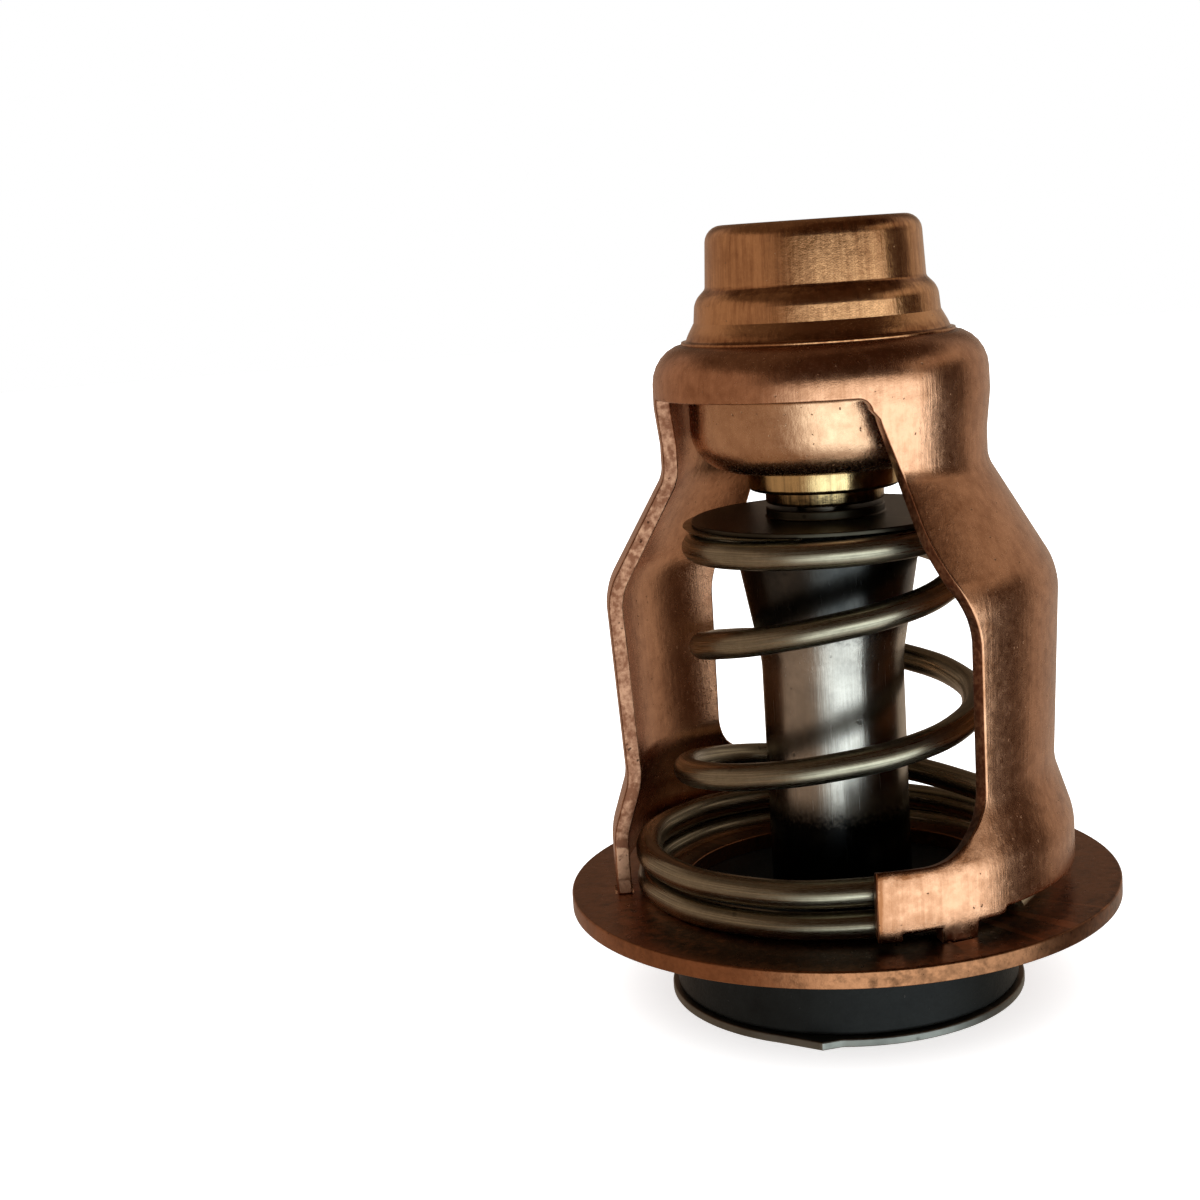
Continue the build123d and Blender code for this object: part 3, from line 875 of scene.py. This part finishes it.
                # the window's top edge, which dips into the root's fillet
                fade = 1.0 - (height - self.window_top) / self.window_fade
                left = angle_of(self.root_edge - self.root_fillet, self.window_top)
                right = angle_of(root_split_edge, self.window_top)
                share = min(1.0, max(0.0, (azimuth - start + self.ease_left) / self.ease_left))
                if azimuth > start:
                    share = max(0.0, 1 - (azimuth - start) / self.ease_right)
                swing = share * math.pi / 4
                dip = (self.window_top - root_split) * (1 - math.cos(swing)) / middle
                if start - self.ease_left - 0.01 < azimuth <= start:
                    wanted = left + (right - left) * math.sin(swing) / math.sin(math.pi / 4)
                    azimuth += (wanted - azimuth) * fade
                height -= dip * fade
            elif azimuth >= start - 0.01:
                low = max(height, tab_split)
                edge = min(self.softened_edge(low), self.leg_edge)
                if low < self.tab_top + self.tab_fillet:
                    rise = self.tab_top + self.tab_fillet - low
                    edge = self.leg_edge - self.tab_fillet + math.sqrt(self.tab_fillet**2 - rise**2)
                if low > self.window_top - self.root_fillet:
                    rise = low - self.window_top + self.root_fillet
                    reach = math.sqrt(max(0.0, self.root_fillet**2 - rise**2))
                    edge = self.root_edge - self.root_fillet + reach
                edge_angle = angle_of(edge, height)
                azimuth = edge_angle + (azimuth - start) / (side - start) * (side - edge_angle)
            else:
                # foot tab: its top follows the window's outline
                share = (azimuth - start + self.tab_columns) / self.tab_columns
                left, right = angle_of(self.tab_edge, height), angle_of(tab_split_edge, height)
                azimuth = left + share * (right - left)
                edge = radius_at(height) * math.sin(math.radians(azimuth))
                top = self.tab_top
                run = edge - self.leg_edge + self.tab_fillet
                if run > 0:
                    reach = math.sqrt(max(0.0, self.tab_fillet**2 - run**2))
                    top = self.tab_top + self.tab_fillet - reach
                share = (height - foot_bottom) * (top - foot_bottom)
                height = foot_bottom + share / (tab_split - foot_bottom)
            if azimuth > self.step_azimuth and height < self.jog_bottom:
                lift = self.step_height * (self.jog_bottom - height)
                height += lift / (self.jog_bottom - foot_bottom)
            if height > self.window_top:
                radius = math.hypot(vert.co.x, vert.co.y)
            else:
                radius = radius_at(height) * MM
            angle = math.radians(azimuth + turn)
            vert.co = Vector((radius * math.sin(angle), -radius * math.cos(angle), height * MM))
        # shouldered lugs that stand on the flange and pass through it, and the toe of each tab
        for turn in (0.0, 180.0):
            for azimuth, start in zip(LUG_AZIMUTHS, (foot_bottom, foot_bottom + self.step_height)):
                shoulder = (self.lug_shoulder_width, start, self.lug_shoulder)
                self.draw_down(bm, azimuth + turn, *shoulder)
                self.draw_down(bm, azimuth + turn, LUG_WIDTH, self.lug_shoulder, self.lug_end)
            toe = (self.toe_width, foot_bottom, self.toe_end)
            self.draw_down(bm, self.toe_azimuth + turn, *toe)
        bmesh.ops.recalc_face_normals(bm, faces=bm.faces)
        cage = to_object(bm, "cage_pressing", "pressed_copper", "sheared_copper")
        finished(cage, sizes.sheet, sizes.edge, rim_material=1)
        dress(cage, "frame", ["cage"])
        return {"FINISHED"}


class THERMOSTAT_OT_flange(bpy.types.Operator):
    """Turns the mounting flange with its seat bore and cuts the four slots"""

    bl_idname = "thermostat.flange"
    bl_label = "Mounting flange"

    # the slots for the lugs, and the punch that cuts them, in millimetres
    slot_thickness = 1.4
    slot_clearance = 0.2
    punch_height = 4

    def execute(self, context):
        sizes = context.scene.thermostat_valve
        rim, seat, sheet = sizes.flange / MM, sizes.seat / MM, sizes.flange_sheet / MM
        corners = ((seat, 0, 0.06), (rim, 0, 0.05), (rim, sheet, 0.16), (seat, sheet, 0.1))
        bm = bmesh.new()
        wire_section(bm, corners, True)
        spin_round(bm)
        flange = to_object(bm, "mounting_flange", "browned_copper")
        bm = bmesh.new()
        width = LUG_WIDTH + self.slot_clearance
        for azimuth in [azimuth + turn for turn in (0.0, 180.0) for azimuth in LUG_AZIMUTHS]:
            slot = bmesh.ops.create_cube(bm, size=1.0)["verts"]
            block = (self.slot_thickness * MM, width * MM, self.punch_height * MM)
            bmesh.ops.scale(bm, vec=block, verts=slot)
            bmesh.ops.translate(bm, vec=(LUG_RADIUS * MM, 0, 0), verts=slot)
            turn_to(bm, azimuth, slot)
        punch = to_object(bm, "slot_punch")
        cut = flange.modifiers.new("Slots", "BOOLEAN")
        cut.object = punch
        cut.solver = "EXACT"
        finished(flange)
        bpy.data.objects.remove(punch)
        dress(flange, "frame", ["seat_flange"])
        return {"FINISHED"}


class THERMOSTAT_OT_capsule(bpy.types.Operator):
    """Draws the stepped cap and the bowl of the wax capsule, and turns the brass guide"""

    bl_idname = "thermostat.capsule"
    bl_label = "Wax capsule"

    # heights of the cup's and the bowl's clamped faces and of the ring on the cage
    plate_bottom = 38.9
    bowl_top = 36.8
    seat = 40.5
    collar_bore = 8.58
    # radii, then lengths and heights of the brass guide
    bore, nose_radius, collar_radius = 2.05, 4.2, 5.4
    shank, body, chamber = 4.65, 7.9, 3.3
    nose_length, collar_height = 1.0, 1.5
    guide_top, chamber_floor = 37.6, 35.0

    def execute(self, context):
        sizes = context.scene.thermostat_capsule
        half = sizes.sheet / MM / 2
        plate_bottom, seat, bore = self.plate_bottom, self.seat, self.bore
        flange, base, cap = sizes.flange / MM, sizes.base / MM - half, sizes.cap / MM - half
        top = sizes.cap_top / MM
        cup = turned_piece(
            "capsule_cap",
            "burnished_copper",
            (
                (flange, plate_bottom - half, 0.0),
                (base, plate_bottom - half, tangent(0.8, 90)),
                (base - 0.45, 43.3, tangent(0.9, 42)),
                (cap + 0.22, 44.1, tangent(0.7, 42)),
                (cap, top - half, 0.75),
                (0.0, top - half, 0.0),
            ),
            closed=False,
            thickness=sizes.sheet,
            edge=0.05 * MM,
        )
        dress(cup, "frame", ["capsule_cup"])
        collar_ring = turned_piece(
            "capsule_collar",
            "burnished_copper",
            (
                (self.collar_bore, seat - 0.1, 0.0),
                (9.6, seat + 0.02, 0.03),
                (9.6, seat + 0.2, 0.08),
                (9.25, seat + 0.24, 0.12),
                (9.08, seat + 0.65, 0.15),
                (self.collar_bore, seat + 1.55, 0.0),
            ),
        )
        dress(collar_ring, "frame", ["capsule_cup"])
        bowl_top = self.bowl_top
        bowl, bottom = sizes.bowl / MM - half, sizes.bowl_bottom / MM
        shell = turned_piece(
            "capsule_shell",
            "drawn_copper",
            (
                (flange, bowl_top + half, 0.0),
                (bowl, bowl_top + half, 0.7),
                (bowl, bottom + half, 2.6),
                (self.shank + 0.1, bottom + half, 0.0),
            ),
            closed=False,
            thickness=sizes.sheet,
            edge=0.05 * MM,
        )
        dress(shell, "frame", ["capsule_bowl"])
        collar = bottom - self.collar_height
        nose = collar - self.nose_length
        guide = turned_piece(
            "brass_guide",
            "turned_brass",
            (
                (bore, nose, 0.08),
                (self.nose_radius, nose, 0.22),
                (self.nose_radius, collar, 0.05),
                (self.collar_radius, collar, 0.32),
                (self.collar_radius, bottom, 0.08),
                (self.shank, bottom, 0.0),
                (self.shank, bottom + 0.8, 0.0),
                (5.5, bottom + 0.8, 0.0),
                (self.body, bottom + 3.2, 0.0),
                (self.body, self.guide_top, 0.1),
                (self.chamber, self.guide_top, 0.1),
                (self.chamber, self.chamber_floor, 0.0),
                (bore, self.chamber_floor, 0.0),
            ),
        )
        dress(guide, "frame", ["guide_bush"])
        return {"FINISHED"}


class THERMOSTAT_OT_valve(bpy.types.Operator):
    """Makes the moving valve: stem cup, retainer, rubber, plate and rivet"""

    bl_idname = "thermostat.valve"
    bl_label = "Valve"

    # gauges of the sheets, then radii and heights, in millimetres
    stem_sheet = 0.8
    retainer_sheet = 0.35
    spigot, spigot_depth = 5.6, 1.05
    boss, boss_height = 4.2, 0.65
    piston_hole = 2.05
    rubber_bore = 5.4
    # the point on the plate's edge: azimuth in degrees, reach, and its left and right slope
    point_azimuth = -8.0
    point_reach = 0.65
    point_slopes = (0.33, 0.55)
    # radii of the rivet, of its hole and of its head
    rivet, rivet_hole, rivet_head = 2.5, 2.6, 3.9

    def execute(self, context):
        sizes = context.scene.thermostat_valve
        face = -sizes.rubber_depth / MM
        under = sizes.retainer_bottom / MM
        stem, mouth = sizes.stem / MM, sizes.mouth / MM
        half = self.stem_sheet / 2
        tube = turned_piece(
            "stem_tube",
            "scratched_plating",
            (
                (self.rivet_hole, face + half, 0.0),
                (stem - half, face + half, 0.7),
                (stem - half, 17.5, tangent(0.7, 10) + 0.6),
                (mouth - half, under - 1.25, tangent(0.7, 10) + 0.3),
                (mouth - half, under, 0.0),
            ),
            closed=False,
            thickness=self.stem_sheet * MM,
            edge=0.06 * MM,
        )
        dress(tube, "valve", ["stem_cup"])
        disc, top = sizes.retainer / MM, under + self.retainer_sheet
        spigot_end, piston_seat = under - self.spigot_depth, under - 0.65
        retainer = turned_piece(
            "retainer_disc",
            "dark_sheet",
            (
                (0.0, spigot_end, 0.0),
                (self.spigot, spigot_end, 0.15),
                (self.spigot, under, 0.05),
                (disc, under, 0.1),
                (disc, top, 0.1),
                (self.boss, top, 0.15),
                (self.boss, top + self.boss_height, 0.12),
                (self.piston_hole, top + self.boss_height, 0.06),
                (self.piston_hole, piston_seat, 0.0),
                (0.0, piston_seat, 0.0),
            ),
            closed=False,
        )
        dress(retainer, "valve", ["spring_retainer"])
        rubber_radius = sizes.rubber / MM
        rubber = turned_piece(
            "rubber_valve",
            "moulded_rubber",
            (
                (self.rubber_bore, face, 0.1),
                (rubber_radius, face, 0.4),
                (rubber_radius, 0.0, 0.4),
                (self.rubber_bore, 0.0, 0.1),
            ),
        )
        dress(rubber, "valve", ["valve_rubber"])
        plate_radius, base = sizes.plate / MM, face - sizes.plate_sheet / MM
        bm = bmesh.new()
        corners = (
            (3.7, base, 0.05),
            (plate_radius, base, 0.1),
            (plate_radius, face, 0.14),
            (self.rivet_hole, face, 0.05),
            (self.rivet_hole, base + 0.7, 0.0),
        )
        wire_section(bm, corners, True)
        spin_round(bm, first_column=self.point_azimuth)
        # the small point that the press tool leaves on the edge
        for vert in bm.verts:
            radius = math.hypot(vert.co.x, vert.co.y) / MM
            angle = math.radians(half_turned(azimuth_of(vert.co) - self.point_azimuth))
            slope = self.point_slopes[1 if angle > 0 else 0]
            line = plate_radius + self.point_reach
            line /= math.cos(angle) + slope * math.sin(abs(angle))
            if radius > plate_radius - 0.3 and line > plate_radius and abs(angle) < 0.33:
                grow = line / plate_radius
                vert.co.x *= grow
                vert.co.y *= grow
        plate = finished(to_object(bm, "bottom_plate", "grey_sheet"))
        dress(plate, "valve", ["valve_plate"])
        rivet = turned_piece(
            "centre_rivet",
            "rivet_head",
            (
                (0.0, base, 0.0),
                (3.6, base, 0.05),
                (self.rivet, base + 0.7, 0.0),
                (self.rivet, face + self.stem_sheet, 0.0),
                (self.rivet_head, face + self.stem_sheet, 0.1),
                (self.rivet_head, face + 1.3, 0.25),
                (self.rivet, face + 1.8, 0.3),
                (0.0, face + 1.8, 0.0),
            ),
            closed=False,
            columns=96,
        )
        dress(rivet, "valve", ["valve_rivet"])
        return {"FINISHED"}


class THERMOSTAT_OT_spring(bpy.types.Operator):
    """Winds the conical valve spring and grinds its two ends flat"""

    bl_idname = "thermostat.spring"
    bl_label = "Spring"

    # turns from the left, taper from the bottom radius to the top one, share of the length
    stations = (
        (-0.60, 0.000, -0.0076), (-0.25, 0.000, 0.0076), (0.00, 0.000, 0.0208),
        (0.25, 0.000, 0.0359), (0.62, 0.000, 0.0605), (1.00, 0.000, 0.1021),
        (1.25, 0.020, 0.1191), (1.62, 0.245, 0.1512), (1.80, 0.429, 0.2231),
        (2.00, 0.633, 0.3176), (2.25, 0.735, 0.4121), (2.65, 0.878, 0.5369),
        (3.00, 0.980, 0.6616), (3.25, 1.000, 0.7637), (3.50, 1.000, 0.8507),
        (3.75, 0.980, 0.9074), (4.00, 0.959, 0.9414), (4.22, 0.959, 0.9546),
        (4.50, 0.959, 0.9716), (4.75, 0.959, 0.9924), (5.00, 0.959, 1.0181),
        (5.22, 0.959, 1.0306),
    )
    steps_per_turn = 12

    def execute(self, context):
        sizes = context.scene.thermostat_valve
        low, high = sizes.flange_sheet, sizes.retainer_bottom
        places = []
        for start, end in zip(self.stations, self.stations[1:]):
            steps = max(1, round((end[0] - start[0]) * self.steps_per_turn))
            for step in range(steps):
                ends = zip(start, end)
                places.append([first + (last - first) * step / steps for first, last in ends])
        places.append(self.stations[-1])
        path = bpy.data.curves.new("wire_path", "CURVE")
        path.dimensions = "3D"
        path.resolution_u = 6
        path.bevel_depth = sizes.wire
        path.bevel_resolution = 6
        path.use_fill_caps = True
        run = path.splines.new("BEZIER")
        run.bezier_points.add(len(places) - 1)
        for point, (turn, taper, lift) in zip(run.bezier_points, places):
            angle = math.pi + math.tau * turn
            radius = sizes.coil_bottom + (sizes.coil_top - sizes.coil_bottom) * taper
            height = low + (high - low) * lift
            point.co = (radius * math.cos(angle), radius * math.sin(angle), height)
            point.handle_left_type = "AUTO"
            point.handle_right_type = "AUTO"
        wire = bpy.data.objects.new("wire_path", path)
        context.scene.collection.objects.link(wire)
        bpy.context.view_layer.update()
        graph = bpy.context.evaluated_depsgraph_get()
        mesh = bpy.data.meshes.new_from_object(wire.evaluated_get(graph))
        bpy.data.objects.remove(wire)
        bm = bmesh.new()
        bm.from_mesh(mesh)
        bpy.data.meshes.remove(mesh)
        bmesh.ops.remove_doubles(bm, verts=bm.verts, dist=1e-6)
        for height, outward in ((low, -1), (high, 1)):
            cut = bmesh.ops.bisect_plane(
                bm,
                geom=bm.verts[:] + bm.edges[:] + bm.faces[:],
                dist=1e-6,
                plane_co=(0, 0, height),
                plane_no=(0, 0, outward),
                clear_outer=True,
            )
            edges = [made for made in cut["geom_cut"] if isinstance(made, bmesh.types.BMEdge)]
            bmesh.ops.triangle_fill(bm, use_beauty=True, edges=edges)
        bmesh.ops.recalc_face_normals(bm, faces=bm.faces)
        spring = finished(to_object(bm, "spring_wire", "oiled_wire"), sharp=40.0)
        dress(spring, "frame", ["spring"])
        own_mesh(spring)
        return {"FINISHED"}


class THERMOSTAT_OT_finishes(bpy.types.Operator):
    """Mixes the finishes, and puts those of the hidden inner pieces on their CAD nodes"""

    bl_idname = "thermostat.finishes"
    bl_label = "Finishes"

    def execute(self, context):
        tints = context.scene.thermostat_finish
        copper, dark = tuple(tints.copper), tuple(tints.copper_dark)
        oxide, brass = tuple(tints.oxide), tuple(tints.brass)
        steel, plated = tuple(tints.steel), tuple(tints.plated)
        cut, gold = tuple(tints.copper_cut), tuple(tints.copper_gold)
        copper_material(
            "pressed_copper",
            clean=copper,
            dark=dark,
            cut=dark,
            brown=0.5,
            patch=4.5,
            skin=0.4,
            along=0.08,
            specks=0.5,
            stains=(
                (0.16, ("Radius", 16.3, 19.0)),
                (0.5, ("Round", 0.11, 0.15), ("Height", 1.0, 6.6)),
                (0.4, ("Height", 6.0, 6.6), ("Round", 0.1, 0.42)),
                (0.45, ("Round", 0.42, 0.56), ("Height", 6.4, 9.6)),
            ),
        )
        copper_material(
            "sheared_copper",
            clean=cut,
            dark=(0.16, 0.062, 0.032),
            cut=copper,
            rough=0.36,
            brown=0.8,
            patch=0.5,
            skin=0.35,
            lines=0.6,
            along=3.2,
            specks=0.7,
            edge=0.3,
            # cut edges painted lighter below 4.9 mm, a painted highlight where they catch the
            # light, and darker above it, with bands of painted shade at 4.8-5.4 mm and 8.4-9.2 mm
            # by the jog
            stains=(
                (0.36, ("Height", 4.9, 60.0)),
                (-0.5, ("Height", -2.0, 4.9)),
                (0.6, ("Height", 4.8, 5.4)),
                (0.3, ("Height", 8.4, 9.2)),
            ),
        )
        copper_material(
            "burnished_copper",
            clean=gold,
            dark=dark,
            cut=gold,
            rough=0.21,
            brown=0.4,
            patch=4.0,
            lines=0.75,
            along=0.06,
            # painted shade: a dark ring in the corner of the cap's step, a painted contact shadow
            # where the cup stands in the cage, and the cap's top darker on its right side
            stains=(
                (0.4, ("Height", 43.9, 44.4)),
                (0.4, ("Height", 40.1, 41.2)),
                (0.35, ("Height", 47.8, 50.0), ("Round", 0.3, 1.7)),
            ),
        )
        copper_material(
            "drawn_copper",
            clean=tuple(tints.copper_drawn),
            dark=dark,
            cut=copper,
            rough=0.26,
            brown=0.4,
            patch=3.0,
            lines=0.1,
            along=1.0,
            specks=0.6,
            orange_peel=0.4,
        )
        copper_material(
            "browned_copper",
            clean=oxide,
            dark=scaled(0.16, oxide),
            cut=scaled(1.2, oxide),
            rough=0.30,
            brown=0.3,
            lines=0.3,
            along=3.2,
            edge=0.7,
            # painted shadow and dark reflection on the flange's top in front, under the spring, and
            # painted shade on the rim's right side
            stains=(
                (0.7, ("Round", -0.85, 0.95), ("Radius", 8.0, 19.2)),
                (0.45, ("Round", 0.15, 1.7), ("Radius", 19.7, 22.0)),
            ),
        )
        copper_material(
            "turned_brass",
            clean=brass,
            dark=scaled(0.16, brass),
            cut=brass,
            rough=0.18,
            brown=0.3,
            lines=0.8,
            along=0.05,
            # painted shade: the guide's nose below the collar darkened, where it lies in the bowl's
            # shadow
            stains=((0.62, ("Height", 20.0, 29.9)),),
        )
        steel_material("oiled_wire", steel, 0.32, 0.8, wire=True)
        # painted reflection: the stem darkened at its mouth above 19.8 mm and at its foot below 6.7
        # mm, where it reflects the dark spring and rubber
        stains = ((0.88, ("Height", 19.8, 60.0)), (0.95, ("Height", -2.0, 6.7)))
        steel_material("scratched_plating", plated, 0.24, 0.15, stains=stains)
        steel_material("dark_sheet", scaled(0.2, steel), 0.4, 1.0, turned=0.7)
        steel_material("grey_sheet", (0.23, 0.23, 0.20), 0.42, 2.0, turned=0.6)
        steel_material("rivet_head", steel, 0.35, 2.0)
        steel_material("ground_pin", plated, 0.18, 0.3)
        rubber_material("moulded_rubber", tuple(tints.rubber))
        rubber_material("plain_rubber", tuple(tints.rubber))
        rubber_material("cast_wax", (0.45, 0.33, 0.16))
        rubber_material("slick_plastic", (0.4, 0.38, 0.33))
        for name, finish in (
            ("piston", "ground_pin"),
            ("wax_pellet", "cast_wax"),
            ("diaphragm", "plain_rubber"),
            ("rubber_plug", "plain_rubber"),
            ("backup_disc", "slick_plastic"),
        ):
            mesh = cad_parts[name].data
            mesh.materials.clear()
            mesh.materials.append(bpy.data.materials[finish])
        return {"FINISHED"}


class THERMOSTAT_PT_panel(bpy.types.Panel):
    """Lists the pieces of the thermostat"""

    bl_label = "Thermostat"
    bl_idname = "THERMOSTAT_PT_panel"
    bl_space_type = "VIEW_3D"
    bl_region_type = "UI"
    bl_category = "Thermostat"

    def draw(self, context):
        for operator in OPERATORS:
            self.layout.operator(operator.bl_idname)
        for group in GROUPS:
            box = self.layout.box()
            settings = getattr(context.scene, group)
            for name in settings.bl_rna.properties.keys():
                if name not in {"rna_type", "name"}:
                    box.prop(settings, name)


OPERATORS = (
    THERMOSTAT_OT_stage,
    THERMOSTAT_OT_finishes,
    THERMOSTAT_OT_cage,
    THERMOSTAT_OT_flange,
    THERMOSTAT_OT_capsule,
    THERMOSTAT_OT_valve,
    THERMOSTAT_OT_spring,
)
GROUPS = {
    "thermostat_cage": CageSizes,
    "thermostat_capsule": CapsuleSizes,
    "thermostat_valve": ValveSizes,
    "thermostat_finish": FinishColours,
}


def register():
    for group in GROUPS.values():
        bpy.utils.register_class(group)
    for name, group in GROUPS.items():
        setattr(bpy.types.Scene, name, PointerProperty(type=group))
    for operator in OPERATORS:
        bpy.utils.register_class(operator)
    bpy.utils.register_class(THERMOSTAT_PT_panel)


def unregister():
    bpy.utils.unregister_class(THERMOSTAT_PT_panel)
    for operator in reversed(OPERATORS):
        bpy.utils.unregister_class(operator)
    for name, group in GROUPS.items():
        delattr(bpy.types.Scene, name)
        bpy.utils.unregister_class(group)


def main():
    """Builds the whole scene."""
    register()
    for operator in OPERATORS:
        category, name = operator.bl_idname.split(".")
        getattr(getattr(bpy.ops, category), name)()


if __name__ == "__main__":
    main()
